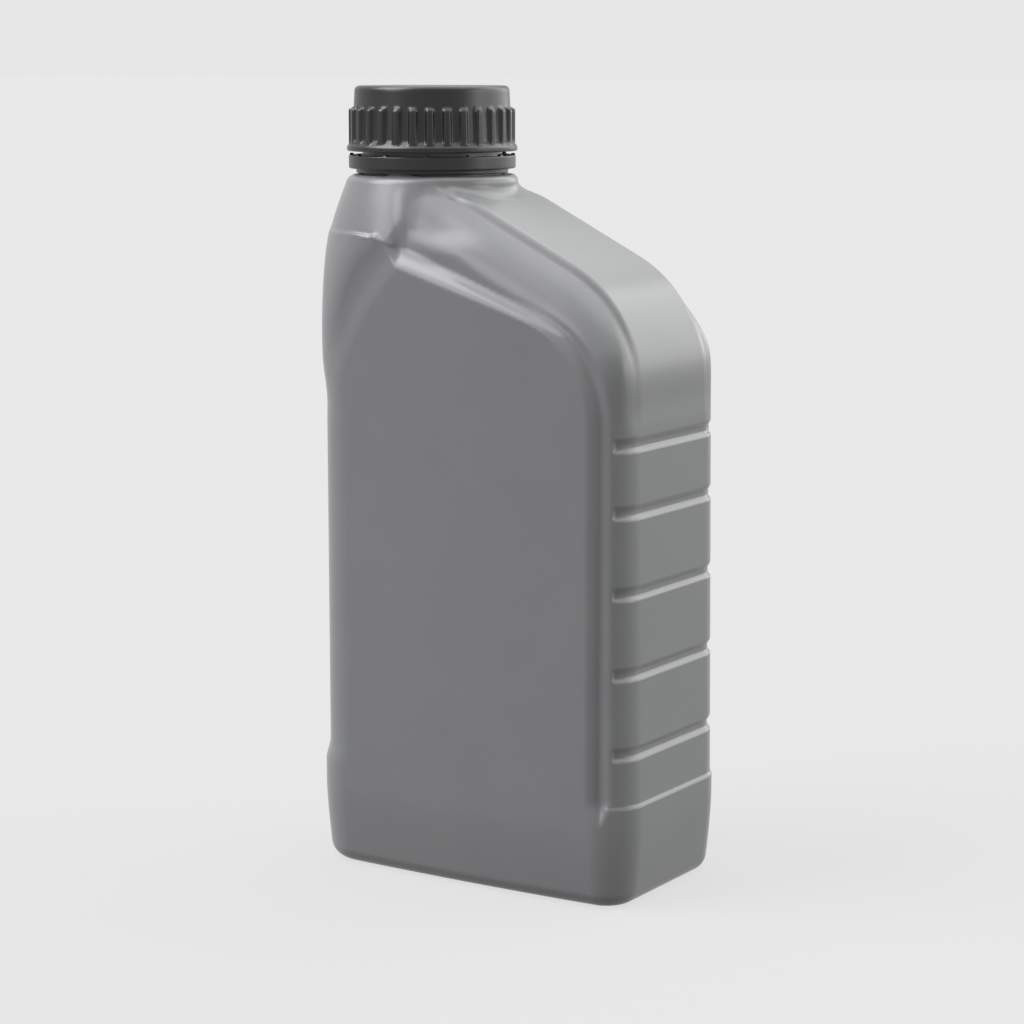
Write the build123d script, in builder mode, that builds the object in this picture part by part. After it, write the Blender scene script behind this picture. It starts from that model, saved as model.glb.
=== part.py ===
from build123d import *
import os
from math import asin, cos, radians, sin, sqrt, tan

# One litre automotive fluid bottle, blow moulded, with a screw cap.
# Z is up, X runs along the width with the grip end at +X, the faces look along -Y and +Y.
# The origin is the middle of the body, at the surface that it stands on.

# Body
body_width = 110.4
body_depth = 60.8
face_crown = 1.6
wall = 1.0
floor_wall = 1.4
neck_end_radius = 15.0
grip_end_radius = 11.3
base_taper = 2.0
base_taper_height = 24.0
base_taper_shares = ((0, 1), (1 / 3, 0.54), (2 / 3, 0.19), (1, 0))
base_round = 4.5
beyond = 6.0
skin_clear = 1.0

# Base, pushed up in the middle so that only a rim stands on the table
foot_width = 8.0
push_up = 2.4
push_up_angle = 40.0
pinch_rib_height = 0.8
pinch_rib_width = 1.6
pinch_rib_inset = 6.0

# Shoulder that falls away from the neck towards the grip end
end_height = 171.0
slope_angle = 26.4
bend_radius = 40.0
strip_width = 39.6
strip_round = 1.0
strip_step = 2.6
shoulder_reach = 17.0
corner_reach = 6.0
shoulder_margin = 1.1
shoulder_start = 13.0
bend_shares = (0, 1 / 3, 2 / 3)

# Neck end: collar, cone and barrel, all round the neck axis
neck_inset = 26.1
collar_height = 206.0
collar_radius = 25.4
collar_round = 2.0
cone_height = 190.7
cone_radius = 30.5
barrel_height = 150.0
barrel_radius = 34.9
barrel_swell = 0.9

# Raised panel on each face, with a valley along its top and its grip side
panel_margin = 12.0
panel_corner_height = 162.0
panel_angle = 16.8
panel_corner_radius = 21.5
panel_start = 5.5
panel_foot = 31.0
valley_depth = 2.75
valley_run = 2.85
ridge_drop = 1.3
ridge_run = 5.7
valley_fade = 9.0
valley_lead = 7.0
block_lap = 3.2
notch_start = 9.5
notch_end = 12.5

# Thumb recess in the neck end
thumb_depth = 1.7
thumb_low = 31.0
thumb_low_ramp = 5.0
thumb_high = 140.0
thumb_high_ramp = 13.0

# Finger grooves round the grip end
grip_count = 4
grip_low = 43.3
grip_pitch = 23.0
grip_top_pitch = 19.0
grip_depth = 1.0
grip_height = 4.2
grip_floor = 1.4
grip_lip = 1.1
grip_start_angle = 38.0
grip_sunk = 0.6
grip_taper = 1.15
grip_taper_top = 140.0
grip_border = 29.4

# Neck finish
neck_radius = 20.6
neck_bore_radius = 18.9
neck_sunk = 3.0
mouth_round = 0.4
thread_lead = 5.0
thread_turns = 1.5
thread_crest = 1.1
thread_root = 2.3
thread_height = 1.3
thread_low = 217.5
thread_sunk = 0.3
bead_radius = 22.3
bead_low = 209.9
bead_height = 1.5
bead_slope = 0.9

# Cap
cap_top = 231.8
cap_low = 212.8
cap_top_radius = 22.8
cap_wall_radius = 23.6
cap_top_round = 1.5
cap_top_wall = 1.8
cap_bore_radius = 22.3
rib_count = 30
rib_width = 1.25
rib_turn = 2.65
rib_top = 225.0
rib_chamfer = 1.0
rib_top_radius = 24.7
rim_radius = 25.2
rim_height = 1.3
thread_clearance = 0.4

# Sealing liner in the cap
liner_thickness = 1.0
liner_seat = 0.05
liner_clearance = 0.4

# Tamper ring left on the neck below the cap
ring_gap = 1.2
ring_low = 206.4
ring_radius = 24.7
ring_bore_radius = 23.2
ring_lip_height = 1.3
ring_lip_inset = 2.2
ring_catch_radius = 21.3
ring_catch_clearance = 0.4
ring_catch_slope = 0.8
bridge_count = 12
bridge_width = 0.9
bridge_height = 0.5
bridge_wall = 0.8

half_width = body_width / 2
half_depth = body_depth / 2
neck_x = neck_inset - half_width
strip_half = strip_width / 2
neck_axis = Axis((neck_x, 0, 0), (0, 0, 1))
slope_rise = tan(radians(slope_angle))
panel_rise = tan(radians(panel_angle))
panel_edge = half_width - panel_margin
bend_x = half_width - grip_sunk - grip_taper
bend_corner = end_height + (half_width - bend_x) * slope_rise
bend_height = bend_corner - bend_radius * tan(radians((90 - slope_angle) / 2))
cap_ceiling = cap_top - cap_top_wall
neck_top = cap_ceiling - liner_thickness - 2 * liner_seat
pocket_run = push_up * tan(radians(push_up_angle))


def draw_plan(height, inset, thumb, grip):
    """Plan of the body: crowned faces, rounded ends; thumb and grip move the two ends in."""
    left = thumb + inset - half_width
    right = half_width - grip - inset
    side = half_depth - inset
    with BuildSketch(Plane.XY.offset(height)) as plan:
        with BuildLine():
            Line((left, side), (left, -side))
            ThreePointArc((left, -side), (0, -side - face_crown), (right, -side))
            Line((right, -side), (right, side))
            ThreePointArc((right, side), (0, side + face_crown), (left, side))
        make_face()
        fillet(plan.vertices().group_by(Axis.X)[0], neck_end_radius - inset)
        fillet(plan.vertices().group_by(Axis.X)[-1], grip_end_radius - inset)
    return plan.sketch


def grip_inset(height):
    """How far the grip end lies inside the full width: none at the base, more towards the bend."""
    if height <= grip_border:
        return 0
    rise = min(height, grip_taper_top) - grip_border
    return grip_sunk + grip_taper * rise / (grip_taper_top - grip_border)


def make_column(inset, low):
    """The plan drawn up through the body, with the taper at the foot and the thumb recess."""
    foot = [(low + (base_taper_height - low) * rise, base_taper * share, 0) for rise, share in base_taper_shares]
    stations = foot + [
        (grip_border, 0, 0),
        (grip_border + grip_lip, 0, 0),
        (thumb_low + thumb_low_ramp, 0, thumb_depth),
        (thumb_high, 0, thumb_depth),
        (thumb_high + thumb_high_ramp, 0, 0),
        (collar_height + beyond, 0, 0),
    ]
    plans = [draw_plan(height, inset + taper, thumb, grip_inset(height)) for height, taper, thumb in stations]
    with BuildPart() as column:
        loft(plans, ruled=True)
        fillet(column.faces().sort_by(Axis.Z)[0].edges(), base_round - inset)
    return column.part


def bend_plane(angle):
    """Plane across the bend, touching it where its normal leans by angle from upright."""
    lean = radians(angle)
    touch = (
        bend_x - bend_radius + bend_radius * sin(lean),
        0,
        bend_height + bend_radius * cos(lean),
    )
    return Plane(origin=touch, x_dir=(0, 1, 0), z_dir=(cos(lean), 0, -sin(lean)))


def make_shoulder_prism(share, inset):
    """Rounded shoulder on both sides of the strip, drawn along one direction of the bend."""
    angle = slope_angle + share * (90 - slope_angle)
    drop = strip_step * (1 - share) + inset
    reach = shoulder_reach + share * (corner_reach - shoulder_reach)
    start = strip_half + shoulder_margin
    side = half_depth - ridge_drop
    bulge = side - start
    run = reach - strip_step * (1 - share)
    radius = (run**2 + bulge**2) / (2 * bulge)
    centre = side - radius
    reduced = radius - inset
    edge = centre + sqrt(reduced**2 - (reach - drop) ** 2)
    middle = asin((reach - drop) / reduced) / 2
    with BuildPart() as prism:
        with BuildSketch(bend_plane(angle)):
            with BuildLine():
                Line((0, -drop), (edge, -drop))
                ThreePointArc(
                    (edge, -drop),
                    (centre + reduced * cos(middle), -reach + reduced * sin(middle)),
                    (centre + reduced, -reach),
                )
                Line((centre + reduced, -reach), (centre + reduced, -2 * end_height))
                Line((centre + reduced, -2 * end_height), (0, -2 * end_height))
                Line((0, -2 * end_height), (0, -drop))
            make_face()
            mirror(about=Plane.YZ)
        extrude(amount=2 * end_height, both=True)
    return prism.part


def make_shoulder(inset):
    """The shoulder beside the strip: three directions of the bend, from beside the collar on."""
    with BuildPart() as shoulder:
        with BuildSketch(Plane.XZ):
            with Locations((neck_x + shoulder_start + inset, 0)):
                Rectangle(body_width, collar_height - inset, align=(Align.MIN, Align.MIN))
        extrude(amount=body_depth, both=True)
        for share in bend_shares:
            add(make_shoulder_prism(share, inset), mode=Mode.INTERSECT)
    return shoulder.part


def make_strip(inset):
    """Flat strip that runs down the slope, over the bend and down the grip end."""
    right = bend_x - inset
    slope_drop = inset / cos(radians(slope_angle))
    corner = bend_corner + inset * slope_rise - slope_drop
    with BuildPart() as strip:
        with BuildSketch(Plane.XZ) as side_view:
            with BuildLine():
                Polyline(
                    (neck_x, 0),
                    (right + beyond, 0),
                    (right + beyond, grip_taper_top - beyond),
                    (right, grip_taper_top + skin_clear),
                    (right, corner),
                    (neck_x, corner + (right - neck_x) * slope_rise),
                    close=True,
                )
            make_face()
            bend = side_view.vertices().sort_by_distance((right, corner, 0))[0]
            fillet(bend, bend_radius - inset)
            with Locations((neck_x, collar_height - inset)):
                Rectangle(body_width, collar_height, align=(Align.MIN, Align.MIN), mode=Mode.SUBTRACT)
        extrude(amount=strip_half - inset, both=True)
        rims = strip.edges().filter_by(Plane.XZ).group_by(Axis.Y)
        fillet(rims[0] + rims[-1], strip_round)
    return strip.part


def make_neck_end(inset):
    """Collar, cone and barrel turned round the neck axis."""
    top = collar_height - inset
    with BuildPart() as turned:
        with BuildSketch(Plane.XZ) as half:
            with BuildLine():
                Polyline(
                    (neck_x, barrel_height),
                    (neck_x, 0),
                    (neck_x + barrel_radius + beyond, 0),
                    (neck_x + barrel_radius + beyond, barrel_height),
                    (neck_x + barrel_radius - inset, barrel_height),
                )
                middle = (barrel_height + cone_height) / 2
                ThreePointArc(
                    (neck_x + barrel_radius - inset, barrel_height),
                    (neck_x + (barrel_radius + cone_radius) / 2 + barrel_swell - inset, middle),
                    (neck_x + cone_radius - inset, cone_height),
                )
                Polyline(
                    (neck_x + cone_radius - inset, cone_height),
                    (neck_x + collar_radius - inset, top - collar_round),
                    (neck_x + collar_radius - collar_round - inset, top),
                    (neck_x, top),
                    (neck_x, barrel_height),
                )
            make_face()
        revolve(axis=neck_axis)
    return turned.part


def make_face_block(inset):
    """Full depth region: the panel, the neck end beside it and the base under it."""
    lap = block_lap - inset
    right = panel_edge + lap
    rise = lap / cos(radians(panel_angle)) - lap * panel_rise
    corner = panel_corner_height + rise
    notch_x = neck_x + notch_end - inset
    with BuildPart() as block:
        with BuildSketch(Plane.XZ) as side_view:
            with BuildLine():
                Polyline(
                    (neck_x, 0),
                    (half_width + beyond, 0),
                    (half_width + beyond, panel_foot - inset),
                    (right, panel_foot - inset),
                    (right, corner),
                    (notch_x, corner + (right - notch_x) * panel_rise),
                    (neck_x + notch_start - inset, cone_height - inset),
                    (neck_x, cone_height - inset),
                    close=True,
                )
            make_face()
            bend = side_view.vertices().sort_by_distance((right, corner, 0))[0]
            fillet(bend, panel_corner_radius + lap)
        extrude(amount=body_depth, both=True)
    return block.part


def make_valley(inset):
    """Cutter for the valley along the panel's top and grip side, on the -Y face."""
    deep = valley_depth + face_crown + beyond
    panel_side = deep * valley_run / valley_depth
    ridge_side = deep * (ridge_run - valley_run) / (valley_depth - ridge_drop)
    start = neck_x + panel_start - inset
    line_rise = (panel_edge - start) * panel_rise
    face = -half_depth
    with BuildPart() as valley:
        with BuildLine() as path:
            FilletPolyline(
                (panel_edge, face, panel_foot - beyond),
                (panel_edge, face, panel_corner_height),
                (start, face, panel_corner_height + line_rise),
                radius=panel_corner_radius,
            )
        with BuildSketch(Plane(origin=(panel_edge, face, panel_foot - beyond), x_dir=(1, 0, 0), z_dir=(0, 0, 1))):
            with BuildLine():
                Polyline(
                    (valley_run, valley_depth),
                    (valley_run - panel_side, valley_depth - deep),
                    (valley_run + ridge_side, valley_depth - deep),
                    close=True,
                )
            make_face()
            if inset > 0:
                offset(amount=inset, kind=Kind.INTERSECTION)
        sweep(path=path.wire())
        # The valley runs out at the foot of the panel and beside the neck
        with BuildSketch(Plane.YZ.offset(panel_edge)):
            with BuildLine():
                low = panel_foot - valley_fade / 2 - inset
                Polyline(
                    (face - beyond, low - end_height),
                    (face + inset, low),
                    (face + 2 * valley_depth, low + 2 * valley_fade),
                    (face + 2 * valley_depth, low - end_height),
                    close=True,
                )
            make_face()
        extrude(amount=body_width, both=True, mode=Mode.SUBTRACT)
        with BuildSketch(Plane.XY):
            with BuildLine():
                Polyline(
                    (start - body_width, face - beyond),
                    (start, face - beyond),
                    (start, face - face_crown + inset),
                    (start + 2 * valley_lead, face + 2 * valley_depth + face_crown),
                    (start - body_width, face + 2 * valley_depth + face_crown),
                    close=True,
                )
            make_face()
        extrude(amount=collar_height, mode=Mode.SUBTRACT)
    return valley.part


def make_grip_path(height, lead):
    """Line round the grip end, from behind one ridge to behind the other; lead makes it longer."""
    right = half_width - grip_inset(height)
    swing = radians(grip_start_angle) - lead / grip_end_radius
    centre_x = right - grip_end_radius
    centre_y = half_depth - grip_end_radius
    start = (centre_x + grip_end_radius * sin(swing), -centre_y - grip_end_radius * cos(swing), height)
    middle_angle = (radians(90) + swing) / 2
    middle = (
        centre_x + grip_end_radius * sin(middle_angle),
        -centre_y - grip_end_radius * cos(middle_angle),
        height,
    )
    with BuildLine() as path:
        ThreePointArc(start, middle, (right, -centre_y, height))
        Line((right, -centre_y, height), (right, centre_y, height))
        ThreePointArc(
            (right, centre_y, height),
            (middle[0], -middle[1], height),
            (start[0], -start[1], height),
        )
    return path.wire()


def make_grip_cutter(height, inset):
    """Groove of one section swept round the grip end; height is its lower lip."""
    path = make_grip_path(height, inset)
    start = path @ 0
    along = path % 0
    outward = along.cross(Vector(0, 0, 1))
    with BuildPart() as cutter:
        with BuildSketch(Plane(origin=start, x_dir=outward, z_dir=along)) as section:
            with BuildLine():
                fall = grip_height - grip_lip - grip_floor
                Polyline(
                    (skin_clear, -grip_lip * skin_clear / grip_depth),
                    (-grip_depth, grip_lip),
                    (-grip_depth, grip_lip + grip_floor),
                    (skin_clear, grip_height + fall * skin_clear / grip_depth),
                    close=True,
                )
            make_face()
            if inset > 0:
                offset(amount=inset)
        sweep(path=path)
    return cutter.part


def make_form(inset, low):
    """Closed form of the bottle up to the collar, inset from its outer skin."""
    with BuildPart() as form:
        add(make_neck_end(inset))
        add(make_shoulder(inset))
        add(make_strip(inset))
        add(make_face_block(inset))
        add(make_column(inset, low), mode=Mode.INTERSECT)
        valley = make_valley(inset)
        add(valley, mode=Mode.SUBTRACT)
        add(mirror(valley, about=Plane.XZ, mode=Mode.PRIVATE), mode=Mode.SUBTRACT)
    return form.part


def make_body(inset, low):
    """The form with the grip cut into it."""
    with BuildPart() as body:
        add(make_form(inset, low))
        heights = [grip_low + grip_pitch * k for k in range(grip_count)]
        for height in heights + [heights[-1] + grip_top_pitch]:
            add(make_grip_cutter(height, inset), mode=Mode.SUBTRACT)
    return body.part


def make_pocket(height, rim):
    """Tapered block of the push-up in the base; rim is how far it stays inside the body."""
    with BuildPart() as pocket:
        extrude(draw_plan(height, rim, 0, 0), amount=push_up, taper=push_up_angle)
    return pocket.part


def make_thread(radius, height, low, outward):
    """Right hand thread ridge of the shared lead; outward is 1 on the neck and -1 in the cap."""
    rise = thread_lead * thread_turns
    sunk = radius - outward * thread_sunk
    path = Helix(thread_lead, rise, sunk, center=(neck_x, 0, low))
    section_plane = Plane(origin=path @ 0, x_dir=(outward, 0, 0), z_dir=(0, outward, 0))
    with BuildPart() as thread:
        with BuildSketch(section_plane):
            with BuildLine():
                Polyline(
                    (0, -thread_root / 2),
                    (thread_sunk + height, -thread_crest / 2),
                    (thread_sunk + height, thread_crest / 2),
                    (0, thread_root / 2),
                    close=True,
                )
            make_face()
        sweep(path=path, is_frenet=True)
    return thread.part


outer_form = make_body(0, 0)
cavity_form = make_body(wall, floor_wall)
push_up_pocket = make_pocket(0, foot_width)
cavity_step = make_pocket(floor_wall, foot_width - wall)
neck_thread = make_thread(neck_radius, thread_height, thread_low, 1)

with BuildPart() as cavity:
    add(cavity_form)
    add(cavity_step, mode=Mode.SUBTRACT)
    with BuildSketch(Plane.XY.offset(collar_height - neck_sunk)):
        with Locations((neck_x, 0)):
            Circle(neck_bore_radius)
    extrude(amount=neck_top - collar_height + neck_sunk + beyond)

with BuildPart() as bottle:
    add(outer_form)
    add(push_up_pocket, mode=Mode.SUBTRACT)
    # Rib that the mould pinches across the push-up
    with BuildSketch(Plane.XY.offset(push_up - pinch_rib_height)):
        Rectangle(body_width - 2 * (foot_width + pocket_run + pinch_rib_inset), pinch_rib_width)
    extrude(amount=pinch_rib_height + floor_wall / 2)
    # Neck and its bead, standing on the collar
    with BuildSketch(Plane.XZ):
        with BuildLine():
            Polyline(
                (neck_x, collar_height - neck_sunk),
                (neck_x + neck_radius, collar_height - neck_sunk),
                (neck_x + neck_radius, bead_low),
                (neck_x + bead_radius, bead_low),
                (neck_x + bead_radius, bead_low + bead_height - bead_slope),
                (neck_x + neck_radius, bead_low + bead_height),
                (neck_x + neck_radius, neck_top),
                (neck_x, neck_top),
                close=True,
            )
        make_face()
    revolve(axis=neck_axis)
    add(neck_thread)
    add(cavity.part, mode=Mode.SUBTRACT)
bottle.part.label = "bottle"

with BuildPart() as rib:
    with BuildSketch(Plane.XZ):
        with BuildLine():
            Polyline(
                (cap_bore_radius + thread_sunk, cap_low + rim_height / 2),
                (rim_radius - thread_sunk, cap_low + rim_height / 2),
                (rib_top_radius, rib_top - rib_chamfer),
                (rib_top_radius - rib_chamfer, rib_top),
                (cap_bore_radius + thread_sunk, rib_top),
                close=True,
            )
        make_face()
    extrude(amount=rib_width / 2, both=True)

cap_thread_low = thread_low - (thread_root + thread_crest) / 2 - thread_clearance
cap_thread = make_thread(cap_bore_radius, thread_height, cap_thread_low, -1)

with BuildPart() as cap:
    with BuildSketch(Plane.XZ) as cap_half:
        with BuildLine():
            Polyline(
                (0, cap_ceiling),
                (0, cap_top),
                (cap_top_radius, cap_top),
                (cap_wall_radius, cap_low + rim_height),
                (rim_radius, cap_low + rim_height),
                (rim_radius, cap_low),
                (cap_bore_radius, cap_low),
                (cap_bore_radius, cap_ceiling),
                close=True,
            )
        make_face()
        shoulder_corner = cap_half.vertices().sort_by_distance((cap_top_radius, cap_top, 0))[0]
        fillet(shoulder_corner, cap_top_round)
    revolve(axis=Axis.Z)
    with PolarLocations(0, rib_count, start_angle=rib_turn):
        add(rib.part)
cap_shell = cap.part.moved(Location((neck_x, 0, 0)))

with BuildPart() as cap_whole:
    add(cap_shell)
    add(cap_thread)
cap_whole.part.label = "cap"

with BuildPart() as cap_liner:
    with BuildSketch(Plane.XY.offset(neck_top + liner_seat)):
        with Locations((neck_x, 0)):
            Circle(cap_bore_radius - liner_clearance)
    extrude(amount=liner_thickness)
cap_liner.part.label = "cap_liner"

ring_top = cap_low - ring_gap
with BuildPart() as tamper_ring:
    with BuildSketch(Plane.XZ):
        with BuildLine():
            catch_top = bead_low - ring_catch_clearance
            Polyline(
                (neck_x + ring_catch_radius, ring_low),
                (neck_x + ring_radius - ring_lip_inset, ring_low),
                (neck_x + ring_radius - ring_lip_inset, ring_low + ring_lip_height),
                (neck_x + ring_radius, ring_low + ring_lip_height),
                (neck_x + ring_radius, ring_top),
                (neck_x + ring_bore_radius, ring_top),
                (neck_x + ring_bore_radius, catch_top),
                (neck_x + ring_catch_radius, catch_top - ring_catch_slope),
                close=True,
            )
        make_face()
    revolve(axis=neck_axis)
    # Ends of the broken bridges
    with BuildSketch(Plane.XY.offset(ring_top)):
        with Locations((neck_x, 0)):
            with PolarLocations((ring_bore_radius + ring_radius) / 2, bridge_count):
                Rectangle(bridge_wall, bridge_width)
    extrude(amount=bridge_height)
tamper_ring.part.label = "tamper_ring"

os.makedirs("parts", exist_ok=True)
export_step(bottle.part, "parts/bottle.step")
export_step(cap_whole.part, "parts/cap.step")
export_step(cap_liner.part, "parts/cap_liner.step")
export_step(tamper_ring.part, "parts/tamper_ring.step")
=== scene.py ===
import math

import bpy
import numpy as np
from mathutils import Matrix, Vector


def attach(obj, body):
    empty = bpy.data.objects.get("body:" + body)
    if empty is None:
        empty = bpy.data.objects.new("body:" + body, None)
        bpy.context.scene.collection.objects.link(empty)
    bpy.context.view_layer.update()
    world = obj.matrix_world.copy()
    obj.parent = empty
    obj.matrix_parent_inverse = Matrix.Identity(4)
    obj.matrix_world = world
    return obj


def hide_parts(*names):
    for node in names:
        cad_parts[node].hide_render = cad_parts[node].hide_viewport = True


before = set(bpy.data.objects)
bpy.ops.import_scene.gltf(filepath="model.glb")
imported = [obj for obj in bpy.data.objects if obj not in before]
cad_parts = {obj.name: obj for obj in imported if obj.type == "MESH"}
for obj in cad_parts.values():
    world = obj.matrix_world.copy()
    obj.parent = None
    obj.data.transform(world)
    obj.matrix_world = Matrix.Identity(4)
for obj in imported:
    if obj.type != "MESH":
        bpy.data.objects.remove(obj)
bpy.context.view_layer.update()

# Every size is in millimetres, as on the maker's drawing; meshes are scaled to metres at the end.
# A pair of values whose name ends in SPAN says where a form starts to change and where it is done.
MM = 0.001

# Body
HALF_WIDTH = 55.2
HALF_DEPTH = 30.4
FACE_CROWN = 1.6
WALL = 1.0
NECK_END_RADIUS = 15.0
GRIP_END_RADIUS = 11.3
BASE_TAPER = 2.0
BASE_TAPER_HEIGHT = 24.0
BASE_TAPER_POWER = 1.5
BASE_ROUND = 4.5
FOOT_WIDTH = 8.0
FOOT_ROUND = 1.0
PUSH_UP = 2.4
PUSH_UP_ROUND = 2.0
SKIN_ROUND = 1.6
# Rounding where a form stops at the plane through the neck axis, hidden inside the neck end
AXIS_ROUND = 0.5

# Shoulder and the strip that runs down it, over the bend
END_HEIGHT = 171.0
SLOPE = math.radians(26.4)
BEND_RADIUS = 40.0
STRIP_HALF = 19.8
STRIP_STEP = 2.6
STRIP_ROUND = 2.0
STRIP_HOLLOW = 1.4
STRIP_TOP = 203.2
STRIP_TOP_ROUND = 5.0
SHOULDER_REACH = 17.0
CORNER_REACH = 6.0
SHOULDER_MARGIN = 1.1
# Below the bend the shoulder's surface moves out, so that the plan of the body alone counts there
BEND_FOOT = 145.0
BEND_CLEAR = 20.0
BEND_CLEAR_RUN = 60.0
# The shoulder is pulled in a little beside the cone, most at its start; X counts from the neck axis
SHOULDER_PULL = 1.3
PULL_START_SPAN = (2, 14)
PULL_END_SPAN = (18, 40)
PULL_HEIGHT_SPAN = (184, 192)
START_PULL = 5.0
START_PULL_SPAN = (-2, 9)

# Neck end: collar, cone and barrel round the neck axis
NECK_X = -29.1
COLLAR_HEIGHT = 206.0
COLLAR_RADIUS = 25.4
COLLAR_ROUND = 2.0
# Over the strip the cone grows as steep as the collar; X counts from the neck axis
CONE_STEEP_SPAN = (6, 18)
CONE_HEIGHT = 190.7
CONE_RADIUS = 30.5
CONE_ROUND = 1.5
BARREL_HEIGHT = 150.0
BARREL_RADIUS = 34.9
BARREL_SWELL = 0.9
# How fast the barrel's surface moves out below its foot, where the plan of the body takes over
BARREL_LEAN = 0.3
# Hollow between neck end and shoulder, which widens along the strip; X counts from the neck axis
NECK_HOLLOW = 1.0
NECK_HOLLOW_GAIN = 2.5
NECK_HOLLOW_SPAN = (12, 20)

# Ledge over the panel's pointed end, and the beak that it ends in; X counts from the neck axis
LEDGE_HEIGHT = 190.0
LEDGE_DEPTH = 0.9
LEDGE_DEPTH_SPAN = (-13, -1)
LEDGE_EDGE = 0.9
LEDGE_HOLLOW = 0.5
# From each of these places on, the ledge falls by so much more for each millimetre
LEDGE_FALLS = ((-9, 0.08), (1, 0.32))
BEAK_START = 3.0
BEAK_LOW = 184.5
BEAK_HEIGHT = 2.4
BEAK_SLOPE = 2.5
# Brings the distance from the sloping beak nearer to a true one
BEAK_SCALE = 1.3
BEAK_ROUND = 0.8

# Raised panel and the valley round it
PANEL_EDGE = 44.3
PANEL_CORNER_HEIGHT = 162.0
PANEL_ANGLE = math.radians(16.8)
PANEL_CORNER_RADIUS = 21.5
PANEL_FOOT = 31.0
VALLEY_DEPTH = 2.75
VALLEY_RUN = 2.85
VALLEY_HOLLOW = 1.2
VALLEY_ROUND = 1.1
VALLEY_FOOT_SPAN = (PANEL_FOOT - 11, PANEL_FOOT + 1)
VALLEY_START_SPAN = (NECK_X + 1.5, NECK_X + 9)
# Where the valley has faded out, its cut is lifted by this share of its depth, clear of the face
VALLEY_LIFT_SHARE = 1.3
RIDGE_DROP = 1.3
RIDGE_RUN = 5.7
RIDGE_START_SPAN = (-4, 20)
BLOCK_LAP = 3.2
BLOCK_ROUND = 1.0
BLOCK_HOLLOW = 1.5

# Soft step on the panel's side towards the neck end, along a wide arc
LEFT_CENTRE = (33.3, 123.7)
LEFT_RADIUS = 79.3
LEFT_DROP = 0.6
LEFT_DROP_SPAN = (-2.5, 4)
LEFT_END_SPAN = (5, 14)
LEFT_HEIGHT_SPAN = (132, 158)

# Thumb recess in the neck end
THUMB_DEPTH = 1.7
THUMB_LOW_SPAN = (30, 37)
THUMB_HIGH_SPAN = (138, 153)

# Finger grooves round the grip end: their lower edges, their section and where they end, in degrees
GROOVES = (43.3, 66.3, 89.3, 112.3, 131.3)
GROOVE_DEPTH = 1.0
GROOVE_HEIGHT = 4.2
GROOVE_LIP = 1.1
GROOVE_FLOOR_TOP = 2.5
GROOVE_SOFT_SHARE = 0.15
GROOVE_END_SPAN = (33, 41)
BORDER = 29.4
GRIP_SUNK = 0.6
GRIP_TAPER = 1.15
GRIP_TAPER_TOP = 140.0

# Moulded edges of the neck, the cap and the ring
SHARP_EDGE = 0.2
SOFT_EDGE = 0.3

# Neck: its bead, its bore and the thread, whose ends run out over a small part of a turn
NECK_RADIUS = 20.6
NECK_BORE = 18.9
NECK_TOP = 228.9
NECK_LIP = 0.4
BEAD_RADIUS = 22.3
BEAD_LOW = 209.9
BEAD_HEIGHT = 1.5
# The bore starts this far below the collar's top; its net and the neck's own wall overlap by the lap
BORE_DEPTH = 12.0
BORE_ROUND = 0.5
BORE_HOLLOW = 1.0
BORE_LAP = 3.0
THREAD_LEAD = 5.0
THREAD_TURNS = 1.5
THREAD_LOW = 217.5
THREAD_HEIGHT = 1.3
THREAD_CREST = 1.1
THREAD_ROOT = 2.3
THREAD_END_TURN = 0.04

# Cap, with ribs that stand out from its wall and run into the flared rim
CAP_TOP = 231.8
CAP_LOW = 212.8
CAP_TOP_RADIUS = 22.8
CAP_TOP_ROUND = 1.5
CAP_WALL_RADIUS = 23.6
CAP_BORE = 22.3
CAP_CEILING = 230.0
# The rings of the flat top and ceiling are left out between these two radii
CAP_MIDDLE = 0.4
CAP_FLAT_RADIUS = 19.0
RIB_COUNT = 30
RIB_TURN = math.radians(2.65)
RIB_WIDTH = 1.5
RIB_FLANK = 0.8
RIB_TOP = 225.7
RIB_TOP_RUN = 0.9
RIB_FOOT = 0.3
RIB_RADIUS = 24.65
RIM_RADIUS = 25.2
RIM_HEIGHT = 1.3
RIM_TOP_ROUND = 0.5
RIM_ROUND = 0.35
RIM_FLARE = 3.2
RIM_FLARE_ROUND = 1.5
THREAD_CLEARANCE = 0.4

# Tamper ring, with a catch inside it and the stubs of its bridges on top
RING_LOW = 206.4
RING_TOP = 211.6
RING_RADIUS = 24.7
RING_TOP_ROUND = 0.4
RING_BORE = 23.2
RING_LIP_HEIGHT = 1.3
RING_LIP_RADIUS = 22.5
RING_LIP_ROUND = 0.45
RING_CATCH_RADIUS = 21.3
RING_CATCH_TOP = 209.5
RING_CATCH_SLOPE = 0.8
BRIDGE_COUNT = 12
BRIDGE_WIDTH = 0.9
BRIDGE_HEIGHT = 0.5
BRIDGE_FOOT = 0.25
BRIDGE_INSET = 0.15

# Grids of the nets: (start, end, step) of their lines, with small steps where the edges are tight
GRID_X = ((-57.8, -46, 1.1), (-46, -12, 0.65), (-12, 38, 1.15), (38, 57.5, 0.75))
GRID_Y = ((-34, 34, 1.0),)
GRID_Z = (
    (-2, 28, 1.0), (28, 33, 0.6), (33, 42, 1.3), (42, 49, 0.5), (49, 65, 1.4), (65, 72, 0.5),
    (72, 88, 1.4), (88, 95, 0.5), (95, 111, 1.4), (111, 118, 0.5), (118, 130, 1.2), (130, 137, 0.5),
    (137, 181, 0.9), (181, 193, 0.45), (193, 209, 0.85),
)
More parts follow.
